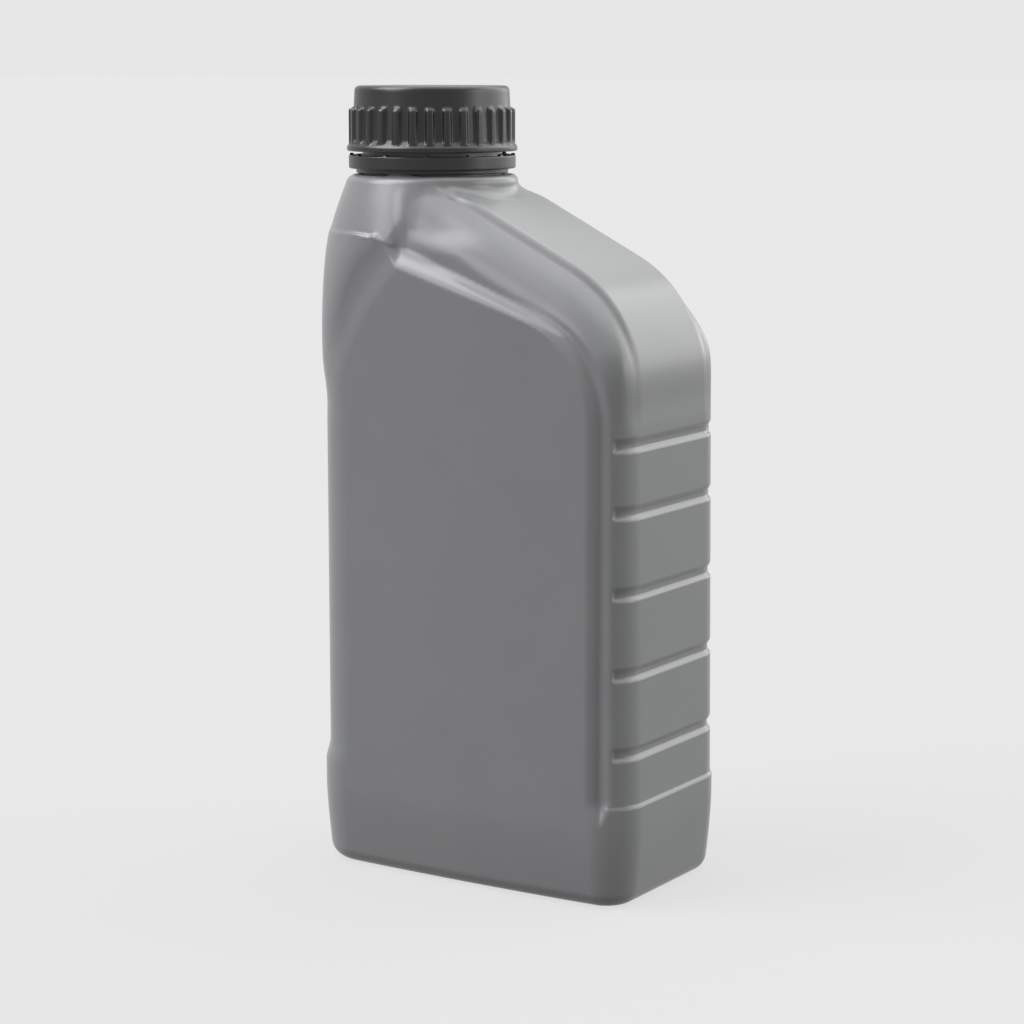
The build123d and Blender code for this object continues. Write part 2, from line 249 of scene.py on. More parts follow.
# The inside shows only through the mouth, so its grid is coarse
INSIDE_STEP = 2.6
INSIDE_GRID_X = ((-57, 57, INSIDE_STEP),)
INSIDE_GRID_Y = ((-33, 33, INSIDE_STEP),)
INSIDE_GRID_Z = ((-1, NECK_TOP - BORE_LAP, INSIDE_STEP / 2),)
# Each round moves a point by NET_MOVE at most; slopes are measured over PROBE to either side
NET_ROUNDS = 8
NET_MOVE = 0.6
FLAT_SLOPE = 0.05
PROBE = 0.04
TINY = 1e-9

# Turned pieces: steps along the profile, columns round the axis and steps round each rounded corner
PROFILE_STEP = 0.45
CAP_STEP = 0.5
NECK_COLUMNS = 180
RING_COLUMNS = 360
COLUMNS_FOR_A_RIB = 14
CORNER_STEPS = 6
# A point counts as on a wall when it is nearer to it than this
ON_WALL = 0.01
# The cap's outside counts from this far past its bore
SIDE_MARGIN = 0.2
# The collar's skin is open under the neck, up to this far inside the neck's wall
NECK_LAP = 0.3


def ramp(t, start, end):
    """Smooth step from 0 at start to 1 at end."""
    s = np.clip((t - start) / (end - start), 0, 1)
    return s * s * (3 - 2 * s)


def outer_edge(a, b, radius):
    """Keeps what is inside both surfaces, with a rounded edge where they meet."""
    rounded = np.hypot(np.maximum(a + radius, 0), np.maximum(b + radius, 0))
    return np.minimum(np.maximum(a, b), -radius) + rounded


def inner_edge(a, b, radius):
    """Joins two forms, with a filled hollow where they meet."""
    return -outer_edge(-a, -b, radius)


def along_bend(x, z):
    """Height above the strip's side view, and the share of the turn made round the bend."""
    end_x = HALF_WIDTH - GRIP_SUNK - GRIP_TAPER
    corner = END_HEIGHT + (HALF_WIDTH - end_x) * math.tan(SLOPE)
    bend_z = corner - BEND_RADIUS * math.tan((math.pi / 2 - SLOPE) / 2)
    dx = x - (end_x - BEND_RADIUS)
    dz = z - bend_z
    angle = np.clip(np.arctan2(dx, dz), SLOPE, math.pi / 2)
    height = dx * np.sin(angle) + dz * np.cos(angle) - BEND_RADIUS
    return height, ramp(angle, SLOPE, math.pi / 2)


def column(x, y, z):
    """Plan of the body drawn upwards: crowned faces, rounded ends, thumb recess, tapered foot."""
    face = np.abs(y) - HALF_DEPTH - FACE_CROWN * (1 - (x / HALF_WIDTH) ** 2)
    thumb = THUMB_DEPTH * ramp(z, *THUMB_LOW_SPAN) * (1 - ramp(z, *THUMB_HIGH_SPAN))
    neck_side = outer_edge(thumb - x - HALF_WIDTH, face, NECK_END_RADIUS)
    rise = np.clip((z - BORDER) / (GRIP_TAPER_TOP - BORDER), 0, 1)
    sunk = GRIP_SUNK * ramp(z, BORDER, BORDER + GROOVE_LIP) + GRIP_TAPER * rise
    grip_side = outer_edge(x + sunk - HALF_WIDTH, face, GRIP_END_RADIUS)
    return np.where(x > 0, grip_side, neck_side), face


def grip(x, y, z):
    """Depth of the finger grooves round the grip end."""
    out = x - (HALF_WIDTH - GRIP_END_RADIUS)
    across = np.abs(y) - (HALF_DEPTH - GRIP_END_RADIUS)
    turn = np.degrees(np.arctan2(out, across))
    reach = ramp(turn, *GROOVE_END_SPAN)
    depth = np.zeros_like(z)
    for low in GROOVES:
        rise = (z - low) / GROOVE_LIP
        fall = (low + GROOVE_HEIGHT - z) / (GROOVE_HEIGHT - GROOVE_FLOOR_TOP)
        section = ramp(np.minimum(rise, fall), -GROOVE_SOFT_SHARE, 1 + GROOVE_SOFT_SHARE)
        depth = np.maximum(depth, GROOVE_DEPTH * section)
    return depth * reach


def neck_end(x, y, z):
    """Collar, cone and barrel turned round the neck axis; the collar stands straight over the strip."""
    along = x - NECK_X
    radius = np.hypot(along, y)
    high = np.maximum(z, BARREL_HEIGHT)

    # The barrel's side view is an arc from its foot to the foot of the cone
    rise = CONE_HEIGHT - BARREL_HEIGHT
    narrowing = BARREL_RADIUS - CONE_RADIUS
    chord = math.hypot(rise, narrowing)
    big = chord**2 / (8 * BARREL_SWELL) + BARREL_SWELL / 2
    back = big - BARREL_SWELL
    centre_r = (BARREL_RADIUS + CONE_RADIUS) / 2 - back * rise / chord
    centre_z = (BARREL_HEIGHT + CONE_HEIGHT) / 2 - back * narrowing / chord
    barrel = np.hypot(radius - centre_r, high - centre_z) - big - BARREL_LEAN * (high - z)

    run = (CONE_RADIUS - COLLAR_RADIUS) * (1 - ramp(along, *CONE_STEEP_SPAN))
    fall = COLLAR_HEIGHT - COLLAR_ROUND - CONE_HEIGHT
    cone = ((radius - COLLAR_RADIUS - run) * fall + (z - CONE_HEIGHT) * run) / np.hypot(fall, run)
    turned = outer_edge(barrel, cone, CONE_ROUND)

    ledge = barrel - LEDGE_DEPTH * ramp(along, *LEDGE_DEPTH_SPAN)
    ledge = outer_edge(ledge, z - ledge_height(x), LEDGE_EDGE)
    turned = inner_edge(turned, ledge, LEDGE_HOLLOW)
    return outer_edge(turned, z - COLLAR_HEIGHT, COLLAR_ROUND)


def ledge_height(x):
    """Height of the crease where the cone meets the ledge; it drops towards its pointed end."""
    height = LEDGE_HEIGHT
    for start, fall in LEDGE_FALLS:
        height = height - fall * np.maximum(x - NECK_X - start, 0)
    return height


def shoulder(x, y, z):
    """Rounded shoulders on both sides of the strip, and the strip that stands on them."""
    height, share = along_bend(x, z)
    along = x - NECK_X
    pull = SHOULDER_PULL * ramp(along, *PULL_START_SPAN) * (1 - ramp(along, *PULL_END_SPAN))
    pull = pull * ramp(z, *PULL_HEIGHT_SPAN)
    pull = pull + START_PULL * (1 - ramp(along, *START_PULL_SPAN))
    side = HALF_DEPTH - RIDGE_DROP - pull

    # An arc from the ridge up to the strip, whose step and reach shrink round the bend
    step = STRIP_STEP * (1 - share)
    reach = SHOULDER_REACH + share * (CORNER_REACH - SHOULDER_REACH)
    run = reach - step
    bulge = side - STRIP_HALF - SHOULDER_MARGIN
    radius = (run**2 + bulge**2) / (2 * bulge)
    centre = side - radius
    across = np.maximum(np.abs(y) - centre, 0)
    above = np.maximum(height + reach, 0)
    rounded = np.hypot(across, above) - radius
    flat = np.minimum(np.maximum(np.abs(y) - side, height + reach - radius), 0)
    rounded = np.where((across > 0) | (above > 0), rounded, flat)
    rounded = np.maximum(rounded, height + step)

    below = BEND_CLEAR * ramp(BEND_FOOT - z, 0, BEND_CLEAR_RUN)
    rounded = np.maximum(rounded - below, np.abs(y) - side)
    strip = outer_edge(height - below, np.abs(y) - STRIP_HALF, STRIP_ROUND)
    strip = outer_edge(strip, z - STRIP_TOP, STRIP_TOP_ROUND)
    joined = inner_edge(rounded, strip, STRIP_HOLLOW)
    return outer_edge(joined, NECK_X - x, AXIS_ROUND)


def panel_outline(x, z):
    """Distance in side view from the edge of the raised panel, positive outside it."""
    above = z - PANEL_CORNER_HEIGHT + (x - PANEL_EDGE) * math.tan(PANEL_ANGLE)
    return outer_edge(x - PANEL_EDGE, above * math.cos(PANEL_ANGLE), PANEL_CORNER_RADIUS)


def face_block(x, y, z):
    """Full depth region: the panel, the neck end beside it and the base under it."""
    outline = panel_outline(x, z) - BLOCK_LAP
    ledge = z - ledge_height(x)
    beak = x - NECK_X - BEAK_START - BEAK_SLOPE * np.clip(z - BEAK_LOW, 0, BEAK_HEIGHT)
    tongue = outer_edge(ledge, beak / BEAK_SCALE, BEAK_ROUND)
    block = outer_edge(outline, ledge, BLOCK_ROUND)
    panel = outer_edge(np.minimum(block, tongue), NECK_X - x, AXIS_ROUND)
    return np.minimum(panel, z - PANEL_FOOT)


def valley(x, face, z):
    """What the valley round the panel takes away."""
    outline = panel_outline(x, z)
    depth = -face
    near = VALLEY_DEPTH / VALLEY_RUN
    far = (VALLEY_DEPTH - RIDGE_DROP) / (RIDGE_RUN - VALLEY_RUN) * ramp(x, *RIDGE_START_SPAN)
    panel_side = (outline * near - depth) / math.hypot(near, 1)
    ridge_side = (VALLEY_DEPTH - (outline - VALLEY_RUN) * far - depth) / np.hypot(far, 1)
    cut = inner_edge(panel_side, ridge_side, VALLEY_HOLLOW)
    fade = ramp(z, *VALLEY_FOOT_SPAN) * ramp(x, *VALLEY_START_SPAN)
    return cut - (1 - fade) * VALLEY_DEPTH * VALLEY_LIFT_SHARE


def panel_left(x, z):
    """Depth of the soft step on the panel's side towards the neck end."""
    outline = np.hypot(x - LEFT_CENTRE[0], z - LEFT_CENTRE[1]) - LEFT_RADIUS
    step = ramp(outline, *LEFT_DROP_SPAN) * (1 - ramp(outline, *LEFT_END_SPAN))
    return LEFT_DROP * step * ramp(z, *LEFT_HEIGHT_SPAN)


def body(x, y, z):
    """Outer skin of the bottle up to the top of the collar: below zero inside."""
    plan, face = column(x, y, z)
    plan = plan + grip(x, y, z) + panel_left(x, z)
    plan = plan + BASE_TAPER * np.maximum(1 - z / BASE_TAPER_HEIGHT, 0) ** BASE_TAPER_POWER
    hollow = NECK_HOLLOW + NECK_HOLLOW_GAIN * ramp(x - NECK_X, *NECK_HOLLOW_SPAN)
    top = inner_edge(neck_end(x, y, z), shoulder(x, y, z), hollow)
    top = inner_edge(top, face_block(x, y, z), BLOCK_HOLLOW)
    skin = outer_edge(plan, top, SKIN_ROUND)
    skin = outer_edge(skin, valley(x, face, z), VALLEY_ROUND)
    return outer_edge(skin, -z, BASE_ROUND)


def outer_skin(x, y, z):
    """The body with the base pushed up inside its foot rim."""
    plan, _ = column(x, y, z)
    pocket = outer_edge(plan + FOOT_WIDTH, z - PUSH_UP, PUSH_UP_ROUND)
    return outer_edge(body(x, y, z), -pocket, FOOT_ROUND)


def inner_skin(x, y, z):
    """The inside wall, with the bore of the neck opening out of it."""
    round_axis = np.hypot(x - NECK_X, y) - NECK_BORE
    bore = outer_edge(round_axis, COLLAR_HEIGHT - BORE_DEPTH - z, BORE_ROUND)
    return inner_edge(outer_skin(x, y, z) + WALL, bore, BORE_HOLLOW)


def gradient(field, points):
    """Slope of a field at some points."""
    slopes = []
    for axis in range(3):
        shift = np.zeros(3)
        shift[axis] = PROBE
        ahead = field(*(points + shift).T)
        behind = field(*(points - shift).T)
        slopes.append((ahead - behind) / (2 * PROBE))
    return np.stack(slopes, -1)


def unit(vectors):
    """The same directions with length 1."""
    return vectors / np.maximum(np.linalg.norm(vectors, axis=1, keepdims=True), TINY)


def rough_net(inside, xs, ys, zs):
    """A point in each grid cell that the surface crosses, and a quad round each grid edge that it cuts."""
    count = np.zeros([n - 1 for n in inside.shape], int)
    for i in (0, 1):
        for j in (0, 1):
            for k in (0, 1):
                count += inside[i:len(xs) - 1 + i, j:len(ys) - 1 + j, k:len(zs) - 1 + k]
    crossed = (count > 0) & (count < 8)
    number = np.full(crossed.shape, -1)
    number[crossed] = np.arange(crossed.sum())
    i, j, k = np.nonzero(crossed)
    points = np.stack([(xs[i] + xs[i + 1]) / 2, (ys[j] + ys[j + 1]) / 2, (zs[k] + zs[k + 1]) / 2], -1)

    quads = []
    for axis in range(3):
        side = np.moveaxis(inside, axis, 0)
        cells = np.moveaxis(number, axis, 0)
        p, q, r = np.nonzero(side[1:, 1:-1, 1:-1] != side[:-1, 1:-1, 1:-1])
        corners = (cells[p, q, r], cells[p, q + 1, r], cells[p, q + 1, r + 1], cells[p, q, r + 1])
        quad = np.stack(corners, -1)
        flip = side[p, q + 1, r + 1] ^ (axis == 1)
        quads.append(np.where(flip[:, None], quad, quad[:, ::-1]))
    quads = np.concatenate(quads)
    return points, quads[(quads >= 0).all(1)]


def skin_net(field, xs, ys, zs):
    """Four-sided net over the surface where field is zero, with its normals.

    The points start in the middle of their cells and slide along the slope onto the surface.
    """
    inside = field(*np.meshgrid(xs, ys, zs, indexing="ij")) < 0
    points, quads = rough_net(inside, xs, ys, zs)
    for _ in range(NET_ROUNDS):
        slope = gradient(field, points)
        value = field(*points.T)
        steepness = np.maximum((slope**2).sum(1), FLAT_SLOPE)
        move = slope * (value / steepness)[:, None]
        length = np.linalg.norm(move, axis=1, keepdims=True)
        points = points - move * np.minimum(1, NET_MOVE / np.maximum(length, TINY))
    return points, quads, unit(gradient(field, points))


def graded(*spans):
    """Grid lines: each span is its start, its end and the step in it."""
    lines = [np.arange(start, end - step / 2, step) for start, end, step in spans]
    return np.concatenate(lines + [[spans[-1][1]]])


def hump(t, half):
    """Rounded hump of height 1 at t = 0 that reaches zero at half."""
    return 0.5 + 0.5 * np.cos(np.pi * np.clip(t / half, -1, 1))


def turned_rings(profile, columns, change=None):
    """Rings round the neck axis from (radius, height) points; change moves them by angle and height."""
    turn = np.arange(columns) * 2 * np.pi / columns
    radius, height = np.array(profile).T
    radius = np.repeat(radius[:, None], columns, 1)
    height = np.repeat(height[:, None], columns, 1)
    if change:
        radius, height = change(radius, height, turn[None, :])
    return np.stack([NECK_X + radius * np.cos(turn), radius * np.sin(turn), height], -1)


def ring_faces(rows, columns, closed):
    """Four-sided faces between the rings; closed joins the last ring to the first."""
    row = np.arange(rows if closed else rows - 1)[:, None]
    above = (row + 1) % rows
    here = np.arange(columns)[None, :]
    beside = (here + 1) % columns
    lower = (row * columns + here, row * columns + beside)
    upper = (above * columns + beside, above * columns + here)
    return np.stack([*lower, *upper], -1).reshape(-1, 4)


def rounded_path(*corners):
    """Profile through (radius, height, rounding) corners, with arcs of short steps at the rounded ones."""
    path = []
    for n, (r, z, rounding) in enumerate(corners):
        here = Vector((r, z))
        if rounding == 0 or n in (0, len(corners) - 1):
            path.append((r, z))
            continue
        before = (Vector(corners[n - 1][:2]) - here).normalized()
        after = (Vector(corners[n + 1][:2]) - here).normalized()
        half = before.angle(after) / 2
        centre = here + (before + after).normalized() * rounding / math.sin(half)
        first = here + before * rounding / math.tan(half) - centre
        last = here + after * rounding / math.tan(half) - centre
        for k in range(CORNER_STEPS + 1):
            arm = first.slerp(last, k / CORNER_STEPS).normalized() * rounding
            path.append(tuple(centre + arm))
    return path


def filled(path, step):
    """The same profile with more points, no further apart than step."""
    full = [path[0]]
    for (r0, z0), (r1, z1) in zip(path, path[1:]):
        parts = max(1, math.ceil(math.hypot(r1 - r0, z1 - z0) / step))
        full += [(r0 + (r1 - r0) * k / parts, z0 + (z1 - z0) * k / parts) for k in range(1, parts + 1)]
    return full


def thread_ridge(turn, height, low):
    """Share of the full thread height at an angle and a height; low is where the thread starts."""
    share = np.zeros(np.broadcast(turn, height).shape)
    for lap in range(math.ceil(THREAD_TURNS) + 1):
        along = lap + turn / (2 * np.pi)
        middle = low + THREAD_LEAD * along
        slope = (THREAD_ROOT / 2 - np.abs(height - middle)) / ((THREAD_ROOT - THREAD_CREST) / 2)
        ends = ramp(along, 0, THREAD_END_TURN)
        ends = ends * (1 - ramp(along, THREAD_TURNS - THREAD_END_TURN, THREAD_TURNS))
        share = np.maximum(share, ramp(slope, 0, 1) * ends)
    return share


def make_mesh(name, points, faces, normals=None):
    """Object from points in millimetres, with given normals or smooth shading."""
    mesh = bpy.data.meshes.new(name)
    mesh.from_pydata((points * MM).tolist(), [], faces)
    mesh.validate()
    mesh.shade_smooth()
    if normals is not None:
        mesh.normals_split_custom_set_from_vertices(normals.tolist())
    made = bpy.data.objects.new(name, mesh)
    bpy.context.scene.collection.objects.link(made)
    return made


def ring_normals(rings, closed):
    """Normals of the rings from the directions along and across them."""
    across = np.roll(rings, -1, 1) - np.roll(rings, 1, 1)
    if closed:
        along = np.roll(rings, -1, 0) - np.roll(rings, 1, 0)
    else:
        along = np.gradient(rings, axis=0)
    return unit(np.cross(across, along).reshape(-1, 3))


def make_bottle():
    """Outer skin, neck with its bead and thread, bore and inner skin, as one mesh."""
    skin, skin_faces, skin_normals = skin_net(outer_skin, graded(*GRID_X), graded(*GRID_Y), graded(*GRID_Z))
    under_neck = np.hypot(skin[:, 0] - NECK_X, skin[:, 1]) < NECK_RADIUS - NECK_LAP
    under_neck &= skin[:, 2] > COLLAR_HEIGHT - COLLAR_ROUND
    skin_faces = skin_faces[~under_neck[skin_faces].any(1)]

    inside_grid = [graded(*spans) for spans in (INSIDE_GRID_X, INSIDE_GRID_Y, INSIDE_GRID_Z)]
    inside, inside_faces, inside_normals = skin_net(inner_skin, *inside_grid)
    inside_faces = inside_faces[:, ::-1]
    inside_normals = -inside_normals

    neck_outline = rounded_path(
        (NECK_RADIUS, COLLAR_HEIGHT - WALL, 0),
        (NECK_RADIUS, BEAD_LOW, SHARP_EDGE),
        (BEAD_RADIUS, BEAD_LOW, SOFT_EDGE),
        (BEAD_RADIUS, BEAD_LOW + BEAD_HEIGHT / 2, SOFT_EDGE),
        (NECK_RADIUS, BEAD_LOW + BEAD_HEIGHT, SOFT_EDGE),
        (NECK_RADIUS, NECK_TOP, NECK_LIP),
        (NECK_BORE, NECK_TOP, NECK_LIP),
        (NECK_BORE, NECK_TOP - 2 * BORE_LAP, 0),
    )
    profile = filled(neck_outline, PROFILE_STEP)

    def with_thread(radius, height, turn):
        wall = np.abs(radius - NECK_RADIUS) < ON_WALL
        return radius + wall * THREAD_HEIGHT * thread_ridge(turn, height, THREAD_LOW), height

    rings = turned_rings(profile, NECK_COLUMNS, with_thread)
    neck_faces = ring_faces(len(profile), NECK_COLUMNS, False)
    neck_normals = ring_normals(rings, False)

    points = np.concatenate([skin, inside, rings.reshape(-1, 3)])
    inside_faces = inside_faces + len(skin)
    neck_faces = neck_faces + len(skin) + len(inside)
    faces = np.concatenate([skin_faces, inside_faces, neck_faces])
    normals = np.concatenate([skin_normals, inside_normals, neck_normals])
    return make_mesh("bottle_body", points, faces.tolist(), normals)


def cap_wall(radius, height, turn):
    """Outside of the cap: the wall, its rounded ribs and the flared rim that they run into."""
    outside = radius > CAP_BORE + SIDE_MARGIN
    pitch = 2 * np.pi / RIB_COUNT
    around = ((turn - RIB_TURN + pitch / 2) % pitch - pitch / 2) * CAP_WALL_RADIUS
    reach = ramp(RIB_TOP - height, 0, RIB_TOP_RUN) * ramp(height, CAP_LOW + RIB_FOOT, CAP_LOW + RIM_HEIGHT)
    rib = np.maximum(RIB_RADIUS - radius, 0) * ramp(RIB_WIDTH - np.abs(around), 0, RIB_FLANK) * reach
    return radius + rib * outside, height


def make_cap():
    """Ribbed cap with its thread inside, turned from one closed outline round the axis."""
    outline = rounded_path(
        (CAP_MIDDLE, CAP_TOP, 0),
        (CAP_TOP_RADIUS, CAP_TOP, CAP_TOP_ROUND),
        (CAP_WALL_RADIUS, CAP_LOW + RIM_FLARE, RIM_FLARE_ROUND),
        (RIM_RADIUS, CAP_LOW + RIM_HEIGHT, RIM_TOP_ROUND),
        (RIM_RADIUS, CAP_LOW, RIM_ROUND),
        (CAP_BORE, CAP_LOW, SHARP_EDGE),
        (CAP_BORE, CAP_CEILING, SOFT_EDGE),
        (CAP_MIDDLE, CAP_CEILING, 0),
    )
    profile = [p for p in filled(outline, CAP_STEP) if p[0] > CAP_FLAT_RADIUS or p[0] == CAP_MIDDLE]
    columns = RIB_COUNT * COLUMNS_FOR_A_RIB

    def shaped(radius, height, turn):
        radius, height = cap_wall(radius, height, turn)
        low = THREAD_LOW - (THREAD_ROOT + THREAD_CREST) / 2 - THREAD_CLEARANCE
        bore = np.abs(radius - CAP_BORE) < ON_WALL
        return radius - bore * THREAD_HEIGHT * thread_ridge(turn, height, low), height

    rings = turned_rings(profile, columns, shaped)[::-1]
    faces = ring_faces(len(profile), columns, False).tolist()
    last = (len(profile) - 1) * columns
    faces.append(list(range(columns))[::-1])
    faces.append(list(range(last, last + columns)))
    return make_mesh("cap_shell", rings.reshape(-1, 3), faces)


def make_ring():
    """Tamper ring with its lower lip, its catch and the stubs of its broken bridges."""
    corners = (
        (RING_CATCH_RADIUS, RING_LOW, SHARP_EDGE),
        (RING_LIP_RADIUS, RING_LOW, SOFT_EDGE),
        (RING_LIP_RADIUS, RING_LOW + RING_LIP_HEIGHT, SHARP_EDGE),
        (RING_RADIUS, RING_LOW + RING_LIP_HEIGHT, RING_LIP_ROUND),
        (RING_RADIUS, RING_TOP, RING_TOP_ROUND),
        (RING_BORE, RING_TOP, SHARP_EDGE),
        (RING_BORE, RING_CATCH_TOP, SHARP_EDGE),
        (RING_CATCH_RADIUS, RING_CATCH_TOP - RING_CATCH_SLOPE, SHARP_EDGE),
    )
    looped = (corners[-1],) + corners + (corners[0],)
    profile = filled(rounded_path(*looped)[1:-1], PROFILE_STEP)

    def with_bridges(radius, height, turn):
        pitch = 2 * np.pi / BRIDGE_COUNT
        around = ((turn + pitch / 2) % pitch - pitch / 2) * RING_RADIUS
        top = ramp(height, RING_TOP - BRIDGE_FOOT, RING_TOP)
        top = top * (radius > RING_BORE + BRIDGE_INSET) * (radius < RING_RADIUS - BRIDGE_INSET)
        return radius, height + BRIDGE_HEIGHT * top * hump(around, BRIDGE_WIDTH)

    rings = turned_rings(profile, RING_COLUMNS, with_bridges)
    faces = ring_faces(len(profile), RING_COLUMNS, True)
    return make_mesh("tamper_band", rings.reshape(-1, 3), faces.tolist(), ring_normals(rings, True))


bottle = make_bottle()
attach(bottle, "bottle")
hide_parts("bottle")

cap = make_cap()
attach(cap, "cap")
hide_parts("cap")

band = make_ring()
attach(band, "bottle")
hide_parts("tamper_ring")


# Materials

# Polyethylene at 1.54 and polypropylene at 1.49 lie on either side of this
PLASTIC_IOR = 1.5
# Colour and gloss drift over this width, as the melt flows and cools
CLOUD_WIDTH = 22.2
CLOUD_DETAIL = 3
GRAIN_DETAIL = 2
GLOSS_SPREAD = 0.03
SEAM_WIDTH = 0.4

# Sockets of a colour mix, which share their names with those for other kinds of value
MIX_SHARE, MIX_FIRST, MIX_SECOND, MIX_RESULT = 0, 6, 7, 2


def linear(code):
    """Colour written as a hex code, as the shader takes it."""
    shares = [int(code[n:n + 2], 16) / 255 for n in (1, 3, 5)]
    return [s / 12.92 if s <= 0.04045 else ((s + 0.055) / 1.055) ** 2.4 for s in shares] + [1]


def grey(level):
    """Grey of a linear brightness."""
    return (level, level, level, 1)


def add(tree, kind, links=(), values=(), **settings):
    """One node with its settings, the values set on its sockets and the links into them."""
    node = tree.nodes.new(kind)
    for key, value in settings.items():
        setattr(node, key, value)
    for socket, value in values:
        node.inputs[socket].default_value = value
    for socket, source in links:
        tree.links.new(source, node.inputs[socket])
    return node


def make_material(name):
    """New material with its node tree and its shader."""
    material = bpy.data.materials.new(name)
    material.use_nodes = True
    tree = material.node_tree
    return material, tree, tree.nodes["Principled BSDF"]


def satin_plastic(name, pale, dark, roughness, grain_width, grain_height, seam_height=0):
    """Moulded plastic: colour and gloss cloud a little, a grain blurs highlights, a seam runs round."""
    material, tree, shader = make_material(name)
    place = add(tree, "ShaderNodeTexCoord").outputs["Object"]
    clouds = add(
        tree, "ShaderNodeTexNoise", [("Vector", place)],
        [("Scale", 1 / (CLOUD_WIDTH * MM)), ("Detail", CLOUD_DETAIL)],
    ).outputs["Fac"]
    colour = add(
        tree, "ShaderNodeMix", [(MIX_SHARE, clouds)],
        [(MIX_FIRST, linear(pale)), (MIX_SECOND, linear(dark))], data_type="RGBA",
    )
    gloss = add(
        tree, "ShaderNodeMapRange", [("Value", clouds)],
        [("To Min", roughness - GLOSS_SPREAD), ("To Max", roughness + GLOSS_SPREAD)],
    )
    grain = add(
        tree, "ShaderNodeTexNoise", [("Vector", place)],
        [("Scale", 1 / (grain_width * MM)), ("Detail", GRAIN_DETAIL)],
    )
    relief = add(
        tree, "ShaderNodeBump", [("Height", grain.outputs["Fac"])],
        [("Distance", grain_height * MM), ("Strength", 1)],
    )
    if seam_height:
        axes = add(tree, "ShaderNodeSeparateXYZ", [("Vector", place)])
        away = add(tree, "ShaderNodeMath", [(0, axes.outputs["Y"])], operation="ABSOLUTE")
        seam = add(
            tree, "ShaderNodeMapRange", [("Value", away.outputs[0])],
            [("From Max", SEAM_WIDTH * MM), ("To Min", 1), ("To Max", 0)], interpolation_type="SMOOTHSTEP",
        )
        relief = add(
            tree, "ShaderNodeBump",
            [("Height", seam.outputs["Result"]), ("Normal", relief.outputs["Normal"])],
            [("Distance", seam_height * MM)],
        )
    tree.links.new(colour.outputs[MIX_RESULT], shader.inputs["Base Color"])
    tree.links.new(gloss.outputs["Result"], shader.inputs["Roughness"])
    tree.links.new(relief.outputs["Normal"], shader.inputs["Normal"])
    shader.inputs["IOR"].default_value = PLASTIC_IOR
    return material


# High density polyethylene, blow moulded: waxy and satin, so the eye gets an even grey on the faces and
# broad soft highlights on the edges. The two halves of the mould leave a faint seam all round. The grain
# that a blasted mould leaves is some tenths of a millimetre wide, too fine to show in the render, so it is
# drawn 1.8 mm wide, as coarse as it needs to be to show as a soft unevenness.
bottle_plastic = satin_plastic(
    "blow moulded HDPE", pale="#787979", dark="#727374", roughness=0.3,
    grain_width=1.8, grain_height=0.012, seam_height=0.02,
)

# Polypropylene, injection moulded: harder and nearly black, so the eye gets only the sheen on the ribs
# and on the edge of the top. Its grain is too fine to show as well, and is drawn 1.5 mm wide.
cap_plastic = satin_plastic(
    "injection moulded PP", pale="#1c1a1b", dark="#191718", roughness=0.34,
    grain_width=1.5, grain_height=0.01,
)

# Polyethylene, foamed and cut from sheet: off-white and matt, with the open grain of its cells.
liner_foam = satin_plastic(
    "foamed PE liner", pale="#dad9d4", dark="#d2d1cc", roughness=0.7,
    grain_width=0.5, grain_height=0.02,
)

bottle.data.materials.append(bottle_plastic)
cap.data.materials.append(cap_plastic)
band.data.materials.append(cap_plastic)
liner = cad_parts["cap_liner"].data
liner.materials.clear()
liner.materials.append(liner_foam)


# Studio: metres and linear brightness

BACKDROP_LEVEL = 0.8
ROOM_LEVEL = 0.35
FLOOR_REACH = 30
# What the floor gives off by itself, where the camera or a reflection sees it
FLOOR_GLOW = 0.68
# What it throws back there, which carries the bottle's shadow, and what it throws back as soft light
FLOOR_SEEN = 0.06
FLOOR_BOUNCE = 0.1


def seen_directly(tree):
    """1 for rays from the camera, in reflections and through clear things, 0 for soft light."""
    rays = add(tree, "ShaderNodeLightPath").outputs
    straight = [(0, rays["Is Camera Ray"]), (1, rays["Is Glossy Ray"])]
    straight = add(tree, "ShaderNodeMath", straight, operation="MAXIMUM").outputs[0]
    through = [(0, straight), (1, rays["Is Transmission Ray"])]
    return add(tree, "ShaderNodeMath", through, operation="MAXIMUM").outputs[0]


floor_mesh = bpy.data.meshes.new("floor")
floor_corners = [(-1, -1), (1, -1), (1, 1), (-1, 1)]
floor_points = [(FLOOR_REACH * x, FLOOR_REACH * y, 0) for x, y in floor_corners]
floor_mesh.from_pydata(floor_points, [], [(0, 1, 2, 3)])
floor = bpy.data.objects.new("floor", floor_mesh)
bpy.context.scene.collection.objects.link(floor)

# Painted board: plain and matt, so that only the bottle's soft shadow shows on it
floor_material, floor_tree, floor_shader = make_material("painted board")
floor_seen = seen_directly(floor_tree)
floor_colour = add(
    floor_tree, "ShaderNodeMix", [(MIX_SHARE, floor_seen)],
    [(MIX_FIRST, grey(FLOOR_BOUNCE)), (MIX_SECOND, grey(FLOOR_SEEN))], data_type="RGBA",
)
floor_glow = add(floor_tree, "ShaderNodeMath", [(0, floor_seen)], [(1, FLOOR_GLOW)], operation="MULTIPLY")
floor_tree.links.new(floor_colour.outputs[MIX_RESULT], floor_shader.inputs["Base Color"])
floor_tree.links.new(floor_glow.outputs[0], floor_shader.inputs["Emission Strength"])
floor_shader.inputs["Emission Color"].default_value = grey(1)
floor_shader.inputs["Roughness"].default_value = 1
floor_shader.inputs["Specular IOR Level"].default_value = 0
floor_mesh.materials.append(floor_material)

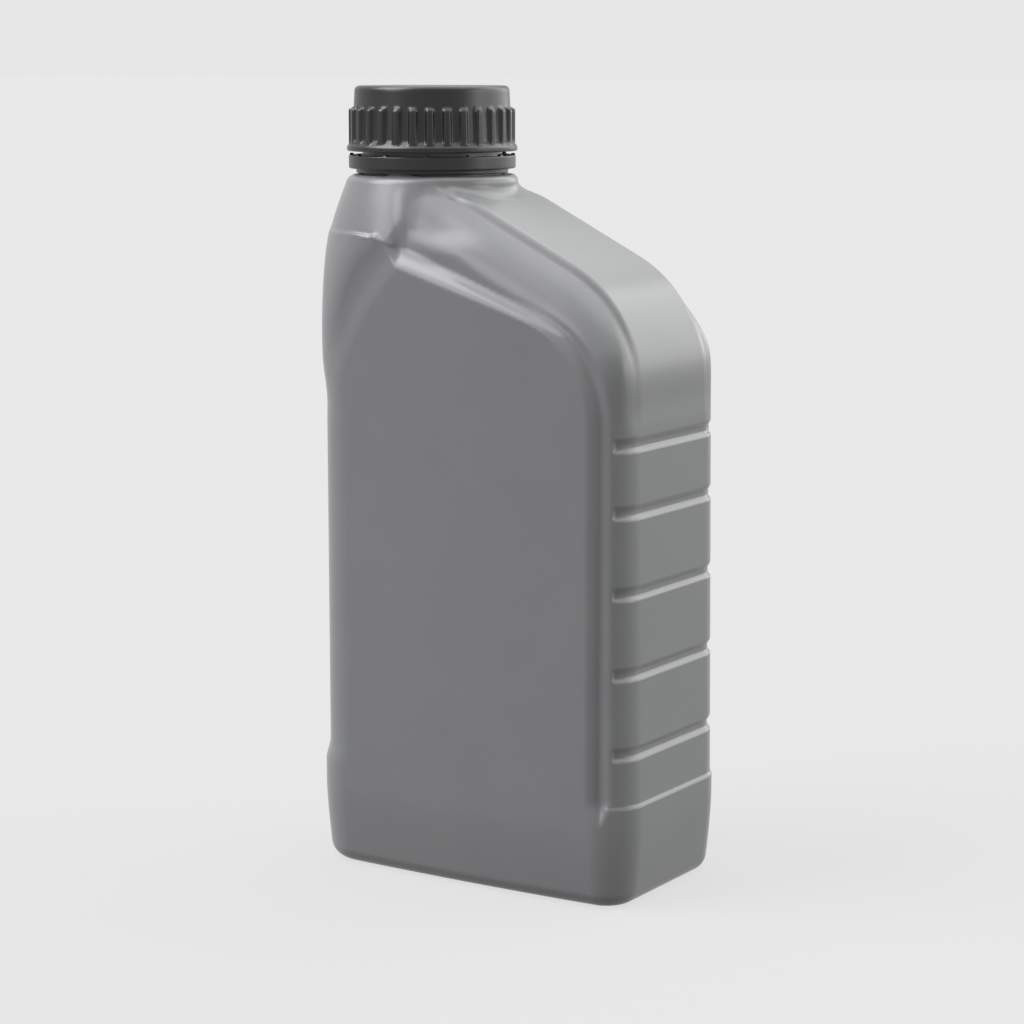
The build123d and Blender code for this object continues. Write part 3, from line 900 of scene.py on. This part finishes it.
world = bpy.data.worlds.new("studio")
bpy.context.scene.world = world
world.use_nodes = True
world_tree = world.node_tree
backdrop = world_tree.nodes["Background"]
backdrop.inputs["Color"].default_value = grey(BACKDROP_LEVEL)
room = add(world_tree, "ShaderNodeBackground", (), [("Color", grey(ROOM_LEVEL))])
backdrop_or_room = add(
    world_tree, "ShaderNodeMixShader",
    [(0, seen_directly(world_tree)), (1, room.outputs[0]), (2, backdrop.outputs[0])],
)
world_tree.links.new(backdrop_or_room.outputs[0], world_tree.nodes["World Output"].inputs["Surface"])

# Camera at the photograph's viewing angle, fitted to the bottle's straight edges and the cap's circles
VIEW_TURN = math.radians(32.63)
VIEW_PITCH = math.radians(9.296)
CAMERA_PLACE = (0.4357, -0.6822, 0.2394)
CAMERA_LENS = 97.23
CAMERA_SENSOR = 36

# Soft lamps: turn to the right of the camera's side, height and spread in degrees, strength, colour
WHITE = (1, 1, 1)
COOL_WHITE = (0.98, 0.97, 1)
LAMPS = (
    ("top_light", 150, 72, 80, 0.82, WHITE),
    ("left_light", -84, 50, 40, 1.0, COOL_WHITE),
    ("left_edge_light", -60, 24, 24, 0.22, COOL_WHITE),
    ("right_light", 110, 5, 80, 1.0, WHITE),
    ("right_edge_light", 70, 10, 26, 0.12, WHITE),
)


def add_lamp(name, turn, height, spread, strength, colour):
    """Soft light from far away; at strength 1 a white surface that faces it looks white."""
    turn = VIEW_TURN + math.radians(turn)
    height = math.radians(height)
    level = math.cos(height)
    towards = Vector((math.sin(turn) * level, -math.cos(turn) * level, math.sin(height)))
    lamp = bpy.data.lights.new(name, "SUN")
    lamp.energy = strength * math.pi
    lamp.angle = math.radians(spread)
    lamp.color = colour
    made = bpy.data.objects.new(name, lamp)
    made.rotation_euler = towards.to_track_quat("Z", "Y").to_euler()
    bpy.context.scene.collection.objects.link(made)


for lamp_values in LAMPS:
    add_lamp(*lamp_values)

camera_data = bpy.data.cameras.new("camera")
camera_data.lens = CAMERA_LENS
camera_data.sensor_width = CAMERA_SENSOR
camera = bpy.data.objects.new("camera", camera_data)
camera.location = CAMERA_PLACE
camera.rotation_euler = (math.pi / 2 - VIEW_PITCH, 0, VIEW_TURN)
bpy.context.scene.collection.objects.link(camera)
bpy.context.scene.camera = camera
bpy.context.scene.view_settings.view_transform = "Standard"
